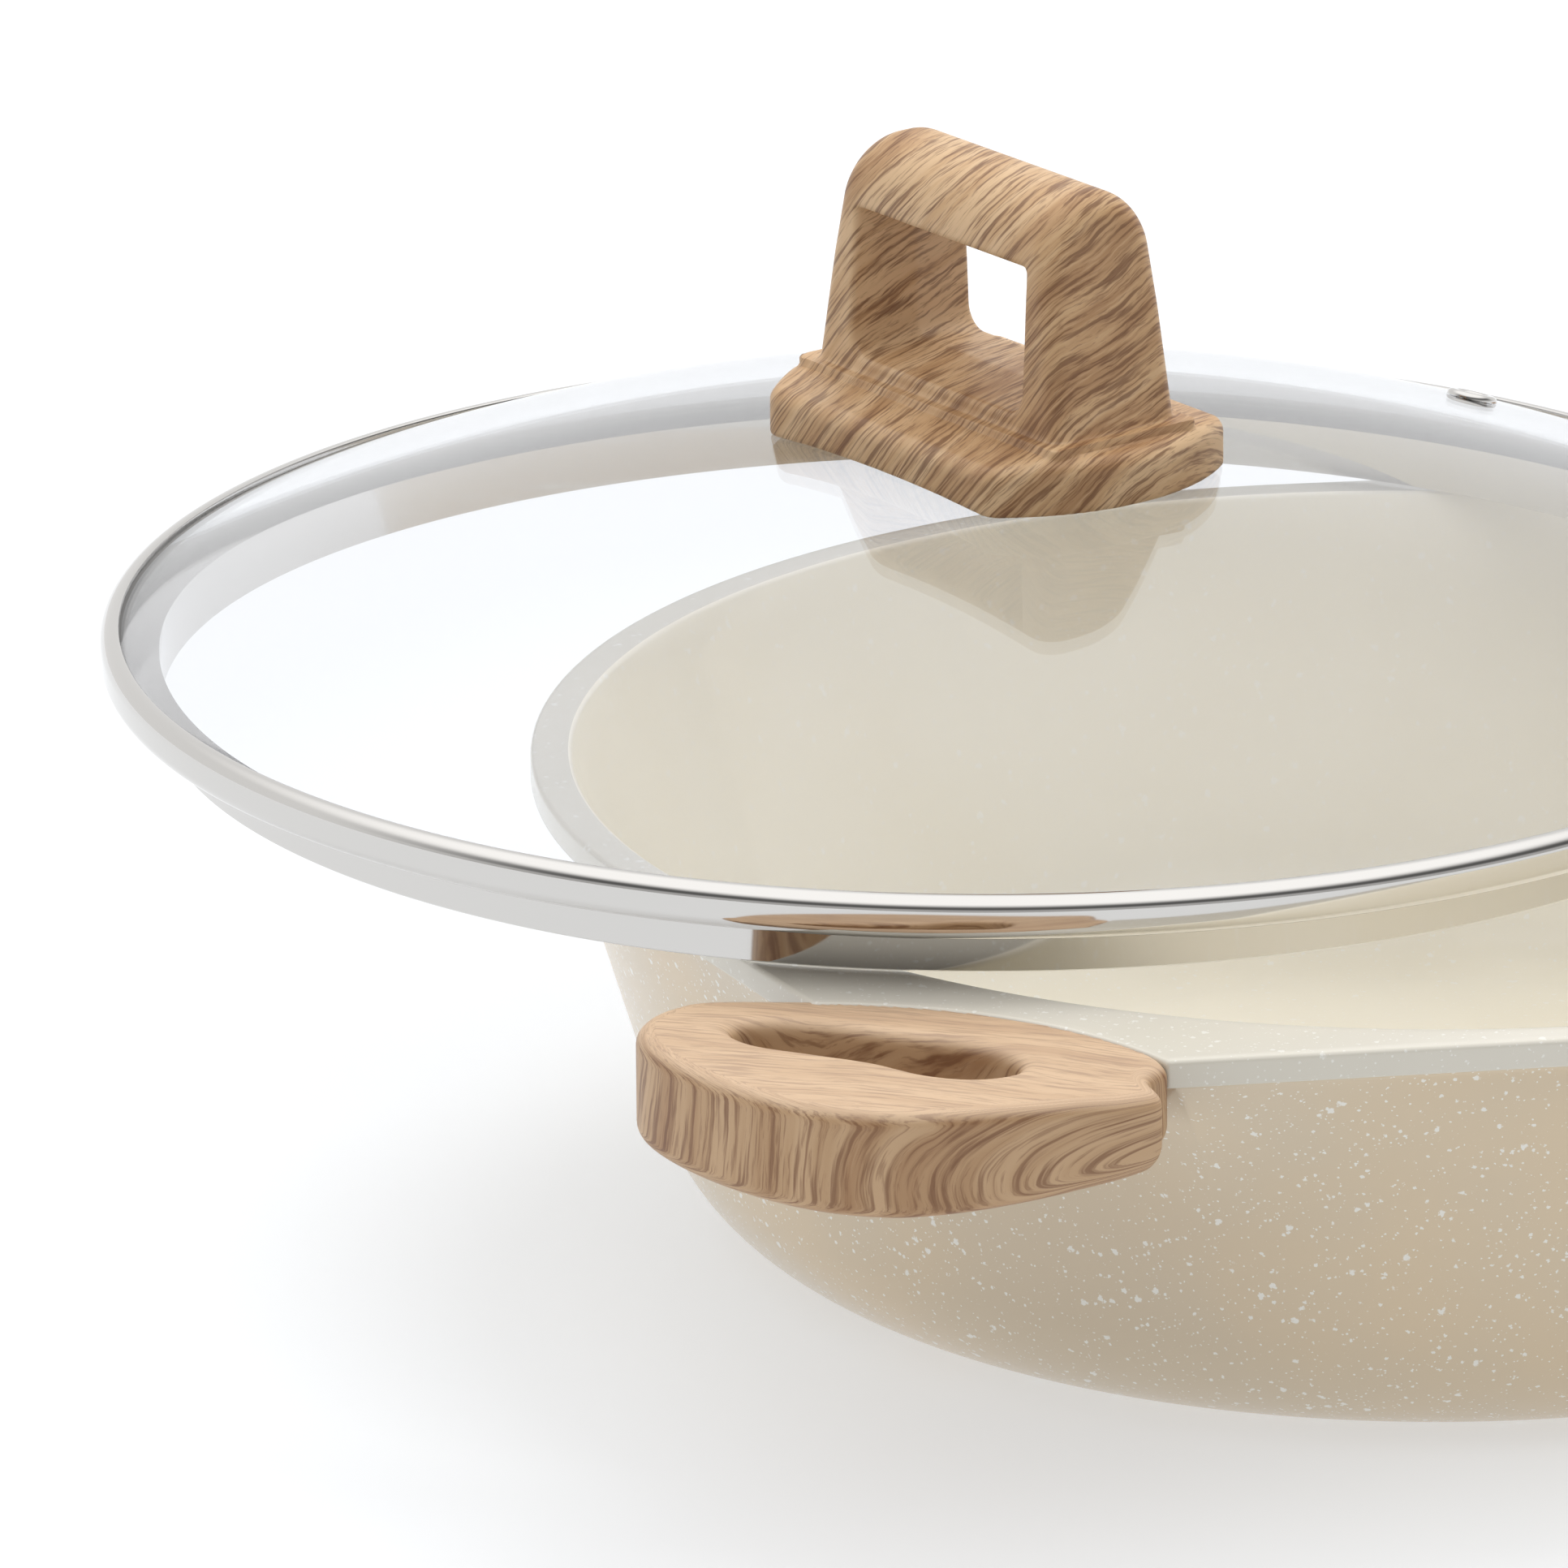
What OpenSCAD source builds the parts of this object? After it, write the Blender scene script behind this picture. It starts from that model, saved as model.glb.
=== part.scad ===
// Round two-handled pan with a domed glass lid.
// Millimetres. Origin at the centre of the base's underside, +Z up, side handles along X.
// The lid is set aside on the rim, off the pan's axis.

/* [Pan] */
// Outside diameter of the rim
pan_d = 300; // [280:2:320]
// Height from the table to the top of the rim
pan_h = 81; // [70:1:95]
// Width of the flat lip round the top
lip_w = 7.2; // [6:0.2:9]
// Height of the upright band that edges the lip
band_h = 4.7; // [3:0.1:7]
// How far the lip stands out over the wall
lip_overhang = 3.7; // [2:0.1:5]
// Lean of the wall from the vertical, in degrees
wall_lean = 17; // [10:1:20]
// Radius where the wall turns into the base
base_round = 30; // [20:1:36]
// Thickness of the base
base_t = 5; // [4:0.5:6]

/* [Induction disc] */
// Diameter of the steel disc pressed into the base
disc_d = 176; // [140:2:180]
// Thickness of the steel disc
disc_t = 1; // [0.6:0.1:1.5]
// Diameter of the aluminium studs that fill the disc's holes
stud_d = 6; // [4:0.5:8]

/* [Side handles] */
// Distance from the pan's axis to the corners of an ear
ear_reach = 162; // [158:1:166]
// Width of an ear
ear_w = 63.8; // [60:1:70]
// Depth of the hollow in the ear's front edge
ear_hollow = 7.6; // [6:0.2:9]
// Thickness of a handle
handle_t = 18; // [16:0.5:22]
// Width of the finger slot
slot_w = 13; // [11:0.5:14]
// Length of the finger slot
slot_l = 50; // [44:1:52]
// Width of the tenon that sits under the ear
tenon_w = 44; // [40:1:46]

/* [Lid] */
// How far the lid is set aside along X
lid_x = -10.6; // [-14:0.2:-9]
// How far the lid is set aside along Y
lid_y = 75.6; // [74:0.2:80]
// Gap under the lid's skirt where it crosses the rim
lid_gap = 0.3; // [0.2:0.1:1]
// Outside diameter of the steel bead
bead_d = 302; // [294:1:304]
// Height of the steel bead
bead_h = 7.4; // [6:0.2:8]
// Outside diameter of the skirt below the bead
skirt_d = 282; // [278:0.4:284]
// Height of the skirt
skirt_h = 8.4; // [7:0.2:10]
// Thickness of the steel strip
steel_t = 0.8; // [0.6:0.1:1]
// Thickness of the glass
glass_t = 3.8; // [3.5:0.1:4]
// Rise of the glass above the bead's inner edge
dome_rise = 31.2; // [30:0.2:35]
// Distance from the lid's axis to the steam vent
vent_r = 116; // [100:1:120]
// Direction of the steam vent, in degrees
vent_dir = -18; // [-30:1:-10]

/* [Knob] */
// Direction of the knob's long side, in degrees
knob_dir = -115; // [-125:1:-105]
// Length of the knob's foot
foot_l = 78.6; // [76:0.2:84]
// Width of the knob's foot
foot_w = 51; // [46:1:54]
// Height of the knob's foot
foot_h = 8; // [7:0.5:9]
// Height of the whole knob
knob_h = 48.6; // [42:0.5:50]
// Length of the loop at the foot
loop_foot_l = 66; // [60:1:68]
// Length of the loop at the top
loop_top_l = 53; // [44:1:56]
// Thickness of the loop from face to face
loop_w = 24.6; // [20:0.2:26]

/* [Hidden] */
$fn = 96;
eps = 0.01;

// Pan: radii at the rim and the centre of the round between wall and base
pan_r = pan_d/2;
mouth_r = pan_r - lip_w;
wall_top_z = pan_h - band_h;
wall_top_r = pan_r - lip_overhang;
lean = tan(wall_lean);
inner_round = base_round - base_t;
edge = 0.6;
function outer_wall_r(z) = wall_top_r - (wall_top_z - z)*lean;
function inner_wall_r(z) = mouth_r - (pan_h - z)*lean;
// A round of radius r whose centre is at height zc touches a wall line of radius wall_r there
function round_centre_r(wall_r, r) = wall_r - r/cos(wall_lean);
outer_round_r = round_centre_r(outer_wall_r(base_round), base_round);
inner_round_r = round_centre_r(inner_wall_r(base_t + inner_round), inner_round);

// Ears: flat flanges bounded by two lines tangent to the rim
ear_corner_r = norm([ear_reach, ear_w/2]);
ear_tangent = atan2(ear_w/2, ear_reach) + acos(pan_r/ear_corner_r);
hollow_half_w = ear_w/2 - 0.5;
hollow_r = (pow(hollow_half_w, 2) + pow(ear_hollow, 2))/(2*ear_hollow);
hollow_x = ear_reach - ear_hollow + hollow_r;
gusset_z = 48;
pocket_x = 146.5;
boss_x = 150.6;
boss_y = 14;
boss_r = 5;
boss_h = 5;
fit_gap = 0.15;

// Handles
handle_top = pan_h;
handle_bottom = pan_h - handle_t;
handle_round = 2.4;
slot_x = 176.5;
slot_y = -12.5;
tenon_top = wall_top_z - 0.6;
tenon_front = 166;
screw_r = 1.9;
screw_head_r = 3;
screw_head_h = 2;
washer_t = 0.8;
screw_seat = wall_top_z - boss_h - 2.6;

// Lid, in its own frame: z = 0 at the bottom of the skirt
bead_r = bead_d/2;
skirt_r = skirt_d/2;
bead_top = skirt_h + bead_h;
bead_round = 1.5;
lip_r = bead_r - 3.2;
glass_edge_r = bead_r - steel_t - 1.1;
glass_lip_z = bead_top - steel_t;
dome_r = (lip_r*lip_r + dome_rise*dome_rise)/(2*dome_rise);
dome_z = glass_lip_z + dome_rise - dome_r;
apex_z = dome_z + dome_r;
vent_tilt = asin(vent_r/dome_r);
vent_bore = 2.2;
vent_flange = 4.4;

// Knob, in its own frame: z = 0 at the top of the dome
foot_gap = 0.2;
gasket_r = foot_w/2 - 3;
gasket_t = 1;
loop_round = 5;
window_round = 3;
window_z = 12;
bar_t = 6.5;
leg_t = 8;
screw_hole_r = 3.2;
insert_r = 4;
insert_h = 8;
m5_r = 2.45;

// Points on an arc of radius r round c, from angle a0 to a1
function arc(c, r, a0, a1, n = 12) =
    [for (i = [0:n]) let (a = a0 + (a1 - a0)*i/n) c + r*[cos(a), sin(a)]];

// Closed smooth curve through the points p, n steps between each two
function spline_point(a, b, c, d, t) =
    0.5*(2*b + t*(c - a) + t*t*(2*a - 5*b + 4*c - d) + t*t*t*(3*b - 3*c + d - a));
function smooth_loop(p, n = 6) = let (m = len(p))
    [for (i = [0:m - 1], k = [0:n - 1])
        spline_point(p[i], p[(i + 1)%m], p[(i + 2)%m], p[(i + 3)%m], k/n)];

pan_profile = concat(
    [[0, 0], [outer_round_r, 0]],
    arc([outer_round_r, base_round], base_round, -90, -wall_lean),
    [[wall_top_r, wall_top_z - edge], [pan_r, wall_top_z + edge/2],
     [pan_r, pan_h - edge], [pan_r - edge, pan_h], [mouth_r + edge, pan_h],
     [mouth_r - edge*lean, pan_h - edge]],
    arc([inner_round_r, base_t + inner_round], inner_round, -wall_lean, -90),
    [[0, base_t]]
);

// The flange's sides end just inside the rim, so that they cross it cleanly
ear_root_r = pan_r - 0.5;
ear_outline = [
    [0, 0],
    ear_root_r*[cos(ear_tangent), -sin(ear_tangent)],
    [ear_reach, -ear_w/2],
    [ear_reach, ear_w/2],
    ear_root_r*[cos(ear_tangent), sin(ear_tangent)]
];
gusset_outline = concat([[90, 0]], arc([0, 0], outer_wall_r(gusset_z) - 1, -24, 24, 8));

// Outer edge of a handle, from one ear corner round to the other; its far lobe is the fuller one
handle_edge = smooth_loop([
    [163, 33], [175, 38], [190, 26], [204, 9], [208.5, -8], [205, -28], [195, -46],
    [180, -54], [169, -48], [161.5, -34], [154, -19], [152, -4], [152, 9], [154, 22]
]);

band_profile = [
    [skirt_r, 0], [skirt_r, skirt_h], [bead_r - bead_round, skirt_h],
    each arc([bead_r - bead_round, skirt_h + bead_round], bead_round, -90, 0, 6),
    each arc([bead_r - 2, bead_top - 2], 2, 0, 90, 6),
    [lip_r, bead_top - 0.2], [lip_r, bead_top - steel_t], [bead_r - 2.2, bead_top - steel_t],
    each arc([bead_r - 2.2, bead_top - 2.2], 1.4, 90, 0, 6),
    [bead_r - steel_t, skirt_h + bead_round], [bead_r - bead_round, skirt_h + steel_t],
    [skirt_r - steel_t, skirt_h + steel_t], [skirt_r - steel_t, 0]
];

module at_lid() {
    translate([lid_x, lid_y, pan_h + lid_gap])
        children();
}

module at_knob() {
    at_lid()
        translate([0, 0, apex_z])
            rotate(knob_dir)
                children();
}

module at_vent() {
    at_lid()
        translate([0, 0, dome_z])
            rotate(vent_dir)
                rotate([0, vent_tilt, 0])
                    translate([0, 0, dome_r])
                        children();
}

// Both screws of one handle, at their seats in the tenon
module at_screws(turn) {
    rotate(turn)
        for (side = [-1, 1])
            translate([boss_x, side*boss_y, screw_seat])
                children();
}

module at_studs() {
    for (ring = [1:3])
        for (i = [0:8*ring - 1])
            rotate(360*i/(8*ring))
                translate([ring*disc_d/7.5, 0, 0])
                    children();
}

// Ear flange with its blended underside, before the pan's inside is taken out
module ear() {
    difference() {
        hull() {
            translate([0, 0, wall_top_z])
                linear_extrude(band_h)
                    polygon(ear_outline);
            translate([0, 0, gusset_z])
                linear_extrude(1)
                    polygon(gusset_outline);
        }
        translate([hollow_x, 0, gusset_z - 1])
            cylinder(r = hollow_r, h = pan_h, $fn = 180);
        translate([pocket_x, -tenon_w/2 - fit_gap, gusset_z - 1])
            cube([30, tenon_w + 2*fit_gap, wall_top_z - gusset_z + 1]);
    }
    for (side = [-1, 1])
        translate([boss_x, side*boss_y, wall_top_z - boss_h])
            cylinder(r = boss_r, h = boss_h + eps);
}

// Everything within the middle of the pan's wall
module pan_middle() {
    low_z = base_round;
    rotate_extrude($fn = 240)
        polygon([
            [0, low_z], [inner_wall_r(low_z) + 2, low_z], [mouth_r + 2, pan_h], [mouth_r + 2, pan_h + 1],
            [0, pan_h + 1]
        ]);
}

module pan_body() {
    color("wheat")
    difference() {
        union() {
            rotate_extrude($fn = 240)
                polygon(pan_profile);
            for (turn = [0, 180])
                rotate(turn)
                    difference() {
                        ear();
                        pan_middle();
                    }
        }
        // Tapped holes for the handle screws
        for (turn = [0, 180])
            at_screws(turn)
                cylinder(r = screw_r + 0.1, h = 9);
        difference() {
            translate([0, 0, -1])
                cylinder(d = disc_d, h = disc_t + 1, $fn = 180);
            at_studs()
                cylinder(d = stud_d, h = disc_t, $fn = 24);
        }
    }
}

module induction_disc() {
    color("lightgray")
    difference() {
        cylinder(d = disc_d, h = disc_t, $fn = 180);
        translate([0, 0, -1])
            at_studs()
                cylinder(d = stud_d, h = disc_t + 2, $fn = 24);
    }
}

module side_handle(turn) {
    color("burlywood")
    rotate(turn)
        difference() {
            union() {
                difference() {
                    hull() {
                        translate([0, 0, handle_bottom])
                            linear_extrude(handle_t)
                                offset(delta = -handle_round)
                                    polygon(handle_edge);
                        translate([0, 0, handle_bottom + handle_round])
                            linear_extrude(handle_t - 1.6*handle_round)
                                polygon(handle_edge);
                    }
                    // Back face follows the hollow in the ear
                    translate([0, 0, handle_bottom - 1])
                        linear_extrude(handle_t + 2)
                            difference() {
                                translate([100, -60])
                                    square([ear_reach + fit_gap - 100, 120]);
                                translate([hollow_x, 0])
                                    circle(r = hollow_r - fit_gap, $fn = 180);
                            }
                }
                translate([pocket_x + fit_gap, -tenon_w/2, handle_bottom + 2])
                    cube([tenon_front - pocket_x, tenon_w, tenon_top - handle_bottom - 2]);
            }
            // Finger slot
            translate([slot_x, slot_y, handle_bottom - 1])
                linear_extrude(handle_t + 2) {
                    square([slot_w, slot_l - slot_w], center = true);
                    for (side = [-1, 1])
                        translate([0, side*(slot_l - slot_w)/2])
                            circle(d = slot_w);
                }
            for (side = [-1, 1])
                translate([boss_x, side*boss_y, 0]) {
                    translate([0, 0, wall_top_z - boss_h - 0.2])
                        cylinder(r = boss_r + 0.2, h = boss_h + 0.2);
                    cylinder(r = screw_r + 0.3, h = wall_top_z - 1);
                    cylinder(r = screw_head_r + 0.4, h = screw_seat);
                }
        }
}

module near_handle() side_handle(180);
module far_handle() side_handle(0);

module handle_screws(turn) {
    color("silver")
    at_screws(turn) {
        difference() {
            translate([0, 0, -washer_t - screw_head_h])
                cylinder(r = screw_head_r, h = screw_head_h);
            for (a = [0, 90])
                translate([0, 0, -washer_t - screw_head_h])
                    rotate(a)
                        cube([0.8, 4, 2], center = true);
        }
        translate([0, 0, -washer_t - eps])
            cylinder(r = screw_r, h = washer_t + 8.5);
    }
}

module near_handle_screws() handle_screws(180);
module far_handle_screws() handle_screws(0);

module handle_washers(turn) {
    color("gainsboro")
    at_screws(turn)
        translate([0, 0, -washer_t])
            difference() {
                cylinder(r = screw_head_r + 0.3, h = washer_t);
                translate([0, 0, -1])
                    cylinder(r = screw_r + 0.1, h = washer_t + 2);
            }
}

module near_handle_washers() handle_washers(180);
module far_handle_washers() handle_washers(0);

// Spherical shell of the dome, cut off at the glass's round edge
module dome_shell() {
    difference() {
        intersection() {
            translate([0, 0, dome_z])
                sphere(r = dome_r, $fn = 240);
            cylinder(r = glass_edge_r, h = apex_z + 1, $fn = 240);
        }
        translate([0, 0, dome_z])
            sphere(r = dome_r - glass_t, $fn = 240);
    }
}

module lid_glass() {
    color("azure", 0.35)
    difference() {
        at_lid()
            dome_shell();
        at_knob()
            translate([0, 0, -2*glass_t])
                cylinder(r = screw_hole_r, h = 3*glass_t);
        at_vent()
            translate([0, 0, -2*glass_t])
                cylinder(r = vent_bore + 0.8, h = 3*glass_t);
    }
}

module lid_band() {
    color("silver")
    at_lid()
        rotate_extrude($fn = 240)
            polygon(band_profile);
}

// Rolled eyelet that lines the steam hole
module vent_eyelet() {
    color("silver")
    at_vent()
        rotate_extrude($fn = 48)
            polygon([
                [vent_bore, -glass_t - 1.2], [vent_bore + 0.6, -glass_t - 1.2],
                [vent_bore + 0.6, 0.1], [vent_flange, 0.1],
                [vent_flange - 0.2, 0.5], [vent_bore + 1, 1], [vent_bore + 0.3, 0.8], [vent_bore, 0.2]
            ]);
}

module vent_washer() {
    color("silver")
    at_vent()
        translate([0, 0, -glass_t - 0.9])
            difference() {
                cylinder(r = vent_flange, h = 0.7, $fn = 48);
                translate([0, 0, -1])
                    cylinder(r = vent_bore + 0.65, h = 3, $fn = 48);
            }
}

// Outline of a trapezium, wide at the bottom, with its top corners rounded
module trapezium(bottom_l, top_l, bottom_z, top_z, round_r) {
    slant = atan2((bottom_l - top_l)/2, top_z - bottom_z);
    corner_x = top_l/2 + (round_r)*tan(slant) - round_r/cos(slant);
    polygon(concat(
        [[-bottom_l/2, bottom_z], [bottom_l/2, bottom_z]],
        arc([corner_x, top_z - round_r], round_r, slant, 90, 6),
        arc([-corner_x, top_z - round_r], round_r, 90, 180 - slant, 6)
    ));
}

module knob_foot() {
    difference() {
        intersection() {
            union() {
                cylinder(d = foot_l, h = 0.8*foot_h);
                translate([0, 0, 0.8*foot_h - eps])
                    cylinder(d1 = foot_l, d2 = foot_l - 8, h = 0.2*foot_h + eps);
                translate([0, 0, -4])
                    cylinder(d = foot_l, h = 4 + eps);
            }
            translate([-foot_l, -foot_w/2, -4])
                cube([2*foot_l, foot_w, foot_h + 4]);
        }
        // Underside sits over the dome, with a shallow seat for the gasket
        translate([0, 0, foot_gap - dome_r])
            sphere(r = dome_r, $fn = 240);
        gasket_pad(gasket_r + 0.2, gasket_t + 0.1);
    }
}

// Round pad of thickness t and radius r that follows the top of the dome
module gasket_pad(r, t) {
    intersection() {
        translate([0, 0, -dome_r])
            sphere(r = dome_r + t, $fn = 240);
        translate([0, 0, -4])
            cylinder(r = r, h = 8);
    }
}

module lid_knob() {
    color("burlywood")
    at_knob()
        difference() {
            union() {
                knob_foot();
                translate([0, loop_w/2, 0])
                    rotate([90, 0, 0])
                        linear_extrude(loop_w)
                            difference() {
                                trapezium(loop_foot_l + 3, loop_top_l, 2, knob_h, loop_round);
                                trapezium(loop_foot_l - 2.4*leg_t, loop_top_l - 1.5*leg_t,
                                          window_z, knob_h - bar_t, window_round);
                            }
            }
            cylinder(r = insert_r, h = gasket_t + insert_h);
        }
}

module knob_insert() {
    color("goldenrod")
    at_knob()
        translate([0, 0, gasket_t + 0.1])
            difference() {
                cylinder(r = insert_r, h = insert_h - 0.1);
                translate([0, 0, -1])
                    cylinder(r = m5_r + 0.1, h = insert_h);
            }
}

// Soft pad between the knob and the glass
module knob_gasket() {
    color("dimgray")
    at_knob()
        difference() {
            gasket_pad(gasket_r, gasket_t);
            translate([0, 0, -dome_r])
                sphere(r = dome_r + 0.05, $fn = 240);
            translate([0, 0, -4])
                cylinder(r = m5_r + 0.3, h = 8);
        }
}

// Flat parts stacked on the screw under the glass
seal_t = 1.5;
cup_t = 1.2;

module knob_seal() {
    color("dimgray")
    at_knob()
        translate([0, 0, -glass_t - seal_t])
            difference() {
                cylinder(r = 8, h = seal_t - 0.15);
                translate([0, 0, -1])
                    cylinder(r = m5_r + 0.3, h = 4);
            }
}

module knob_washer() {
    color("silver")
    at_knob()
        translate([0, 0, -glass_t - seal_t - cup_t])
            difference() {
                cylinder(r = 9, h = cup_t);
                translate([0, 0, -1])
                    cylinder(r = m5_r + 0.2, h = 4);
            }
}

module knob_screw() {
    color("silver")
    at_knob()
        translate([0, 0, -glass_t - seal_t - cup_t]) {
            difference() {
                translate([0, 0, -3])
                    cylinder(r = 4.6, h = 3);
                for (a = [0, 90])
                    translate([0, 0, -3])
                        rotate(a)
                            cube([1, 5.4, 3], center = true);
            }
            translate([0, 0, -eps])
                cylinder(r = m5_r, h = glass_t + seal_t + cup_t + 7);
        }
}

pan_body();
induction_disc();
near_handle();
near_handle_screws();
near_handle_washers();
far_handle();
far_handle_screws();
far_handle_washers();
lid_glass();
lid_band();
vent_eyelet();
vent_washer();
lid_knob();
knob_insert();
knob_gasket();
knob_seal();
knob_washer();
knob_screw();
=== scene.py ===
import math

import bmesh
import bpy
import numpy as np
from mathutils import Matrix, Quaternion, Vector


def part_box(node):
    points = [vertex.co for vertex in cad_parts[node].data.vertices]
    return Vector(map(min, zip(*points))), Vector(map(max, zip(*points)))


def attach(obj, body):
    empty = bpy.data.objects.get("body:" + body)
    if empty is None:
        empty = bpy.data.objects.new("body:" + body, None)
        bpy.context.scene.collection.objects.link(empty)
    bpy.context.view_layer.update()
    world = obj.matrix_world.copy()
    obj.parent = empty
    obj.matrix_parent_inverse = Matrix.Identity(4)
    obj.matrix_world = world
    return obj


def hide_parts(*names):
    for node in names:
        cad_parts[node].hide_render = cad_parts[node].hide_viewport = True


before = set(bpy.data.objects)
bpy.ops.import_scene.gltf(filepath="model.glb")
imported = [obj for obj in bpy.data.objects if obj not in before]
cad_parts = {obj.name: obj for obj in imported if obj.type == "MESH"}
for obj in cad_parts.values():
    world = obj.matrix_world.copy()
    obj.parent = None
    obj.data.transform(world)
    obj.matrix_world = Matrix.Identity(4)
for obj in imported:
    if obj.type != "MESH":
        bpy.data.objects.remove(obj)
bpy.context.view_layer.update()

MM = 0.001

# ---------------------------------------------------------------- measures, in millimetres

def corners(node):
    """Lowest and highest corner of a CAD node, to the tenth of a millimetre that the CAD is drawn in."""
    return np.round(np.array(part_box(node)) / MM, 1)


# Grid step for the moulded pieces, in millimetres.
GRID_STEP = 0.6

# Pan. The lip overhangs the wall, and the ears grow out of the lip where the handles sit.
pan_high = corners("pan_body")[1]
disc_high = corners("induction_disc")[1]
PAN_H = pan_high[2]
RIM_R = pan_high[1]
MOUTH_R = RIM_R - 7.2
BAND_H = 4.7
BAND_Z = PAN_H - BAND_H
WALL_TOP_R = RIM_R - 3.7
WALL_LEAN = math.radians(17)
BASE_T = 5.0
OUTER_ROUND = 30.0
INNER_ROUND = 26.0
DISC_R = disc_high[0]
DISC_T = disc_high[2]
STUD_R = 2.95

EAR_X = pan_high[0]
EAR_HALF_W = 31.9
EAR_TANGENT = math.radians(35.9)
EAR_BLEND_H = 34.0
EAR_HALF_ANGLE = 0.3
HOLLOW_R = 69.5
HOLLOW_X = 223.9
EAR_GAP, HOLLOW_GAP = 0.1, 0.15

# Side handles, each with a tenon in its ear and two screw bores from below.
handle_low, handle_high = corners("far_handle")
HANDLE_TOP = handle_high[2]
HANDLE_T = HANDLE_TOP - handle_low[2]
HANDLE_ROUND = 2.6
CHAMFER_START_Y, CHAMFER_SLOPE, CHAMFER_ROUND = 18.0, 0.26, 4.0
SLOT_ROUND = 3.0
TENON_X, TENON_HALF_L, TENON_HALF_W = 156.0, 10.3, 22.0
TENON_Z, TENON_HALF_H = 70.25, 5.75
BORE_X, BORE_Y, BORE_R, BORE_TOP = 150.0, 14.0, 3.7, 68.7
KNOT_Y, KNOT_Z = 44.0, 68.0

# Lid, in its own frame: z = 0 at the edge of its skirt.
band_low, band_high = corners("lid_band")
LID_X, LID_Y = (band_low[:2] + band_high[:2]) / 2
LID_Z = band_low[2]
SKIRT_R = 141.0
BEAD_R = (band_high[0] - band_low[0]) / 2
BEAD_TOP = band_high[2] - band_low[2]
CREASE_Z = 8.4
LIP_R = 147.8
STEEL_T = 0.8
GLASS_T = 3.8
GLASS_EDGE_R = 149.1
DOME_R = 365.7
APEX_Z = 46.2
SCREW_HOLE_R = 3.2
VENT_R = 116.0
VENT_DIR = math.radians(-18)

# Knob, in its own frame: x along its bar, z = 0 at the top of the glass.
KNOB_DIR = math.radians(-115)
KNOB_H = 48.6
FOOT_R = 39.3
FOOT_HALF_W = 25.5
FOOT_H = 8.0
LOOP_HALF_L_LOW, LOOP_HALF_L_HIGH = 33.3, 27.2
LOOP_HALF_W = 13.2
LOOP_ROUND = 10.2
PLINTH_HALF_L, PLINTH_HALF_W, PLINTH_H = 35.4, 15.4, 1.1
WINDOW_HALF_L = 21.6
WINDOW_LOW, WINDOW_HIGH = 12.8, 36.6


# ---------------------------------------------------------------- mesh tools

def arc(centre, radius, start, end, count=10):
    """Points on an arc, angles in degrees."""
    angles = np.radians(np.linspace(start, end, count))
    return [(centre[0] + radius * math.cos(a), centre[1] + radius * math.sin(a)) for a in angles]


def add_object(name, points, faces, body, materials, replaces=(), smooth_angle=40):
    """A mesh object from points in millimetres that rides on a CAD body."""
    mesh = bpy.data.meshes.new(name)
    mesh.from_pydata((np.asarray(points) * MM).tolist(), [], faces)
    mesh.validate()
    for material in materials:
        mesh.materials.append(material)
    mesh.shade_smooth()
    mesh.set_sharp_from_angle(angle=math.radians(smooth_angle))
    piece = bpy.data.objects.new(name, mesh)
    bpy.context.scene.collection.objects.link(piece)
    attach(piece, body)
    if replaces:
        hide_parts(*replaces)
    return piece


def wrapped_quads(rings, around, closed_profile=True):
    """Faces of a grid whose rings join up, and whose profile joins up if it is closed."""
    i, j = np.meshgrid(np.arange(rings), np.arange(around - (not closed_profile)), indexing="ij")
    nxt_i, nxt_j = (i + 1) % rings, (j + 1) % around
    quads = np.stack([i * around + j, nxt_i * around + j, nxt_i * around + nxt_j, i * around + nxt_j], -1)
    return quads.reshape(-1, 4).tolist()


def lathe(profile, steps):
    """Points and faces of a closed (radius, height) outline turned about Z."""
    profile = np.asarray(profile)
    turn = np.linspace(0, 2 * math.pi, steps, endpoint=False)[:, None]
    radius, height = profile[None, :, 0], profile[None, :, 1]
    points = np.stack(np.broadcast_arrays(radius * np.cos(turn), radius * np.sin(turn), height), -1)
    return points.reshape(-1, 3), wrapped_quads(steps, len(profile))


def moved(points, matrix):
    """Points in millimetres through a 4 x 4 matrix in millimetres."""
    matrix = np.array(matrix)
    return np.asarray(points) @ matrix[:3, :3].T + matrix[:3, 3]


def set_vector_attribute(piece, name, values):
    """Stores one vector for each vertex of the mesh."""
    attribute = piece.data.attributes.new(name, "FLOAT_VECTOR", "POINT")
    attribute.data.foreach_set("vector", np.ascontiguousarray(values, np.float32).ravel())


# ---------------------------------------------------------------- solid shapes as distance fields

def smooth_curve(points, steps=8):
    """Closed Catmull-Rom curve through the points."""
    p = np.asarray(points, float)
    a, b, c, d = (np.roll(p, shift, axis=0)[:, None] for shift in (1, 0, -1, -2))
    t = (np.arange(steps) / steps)[None, :, None]
    curve = 0.5 * (2 * b + t * (c - a) + t**2 * (2 * a - 5 * b + 4 * c - d)
                   + t**3 * (3 * b - 3 * c + d - a))
    return curve.reshape(-1, 2)


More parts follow.
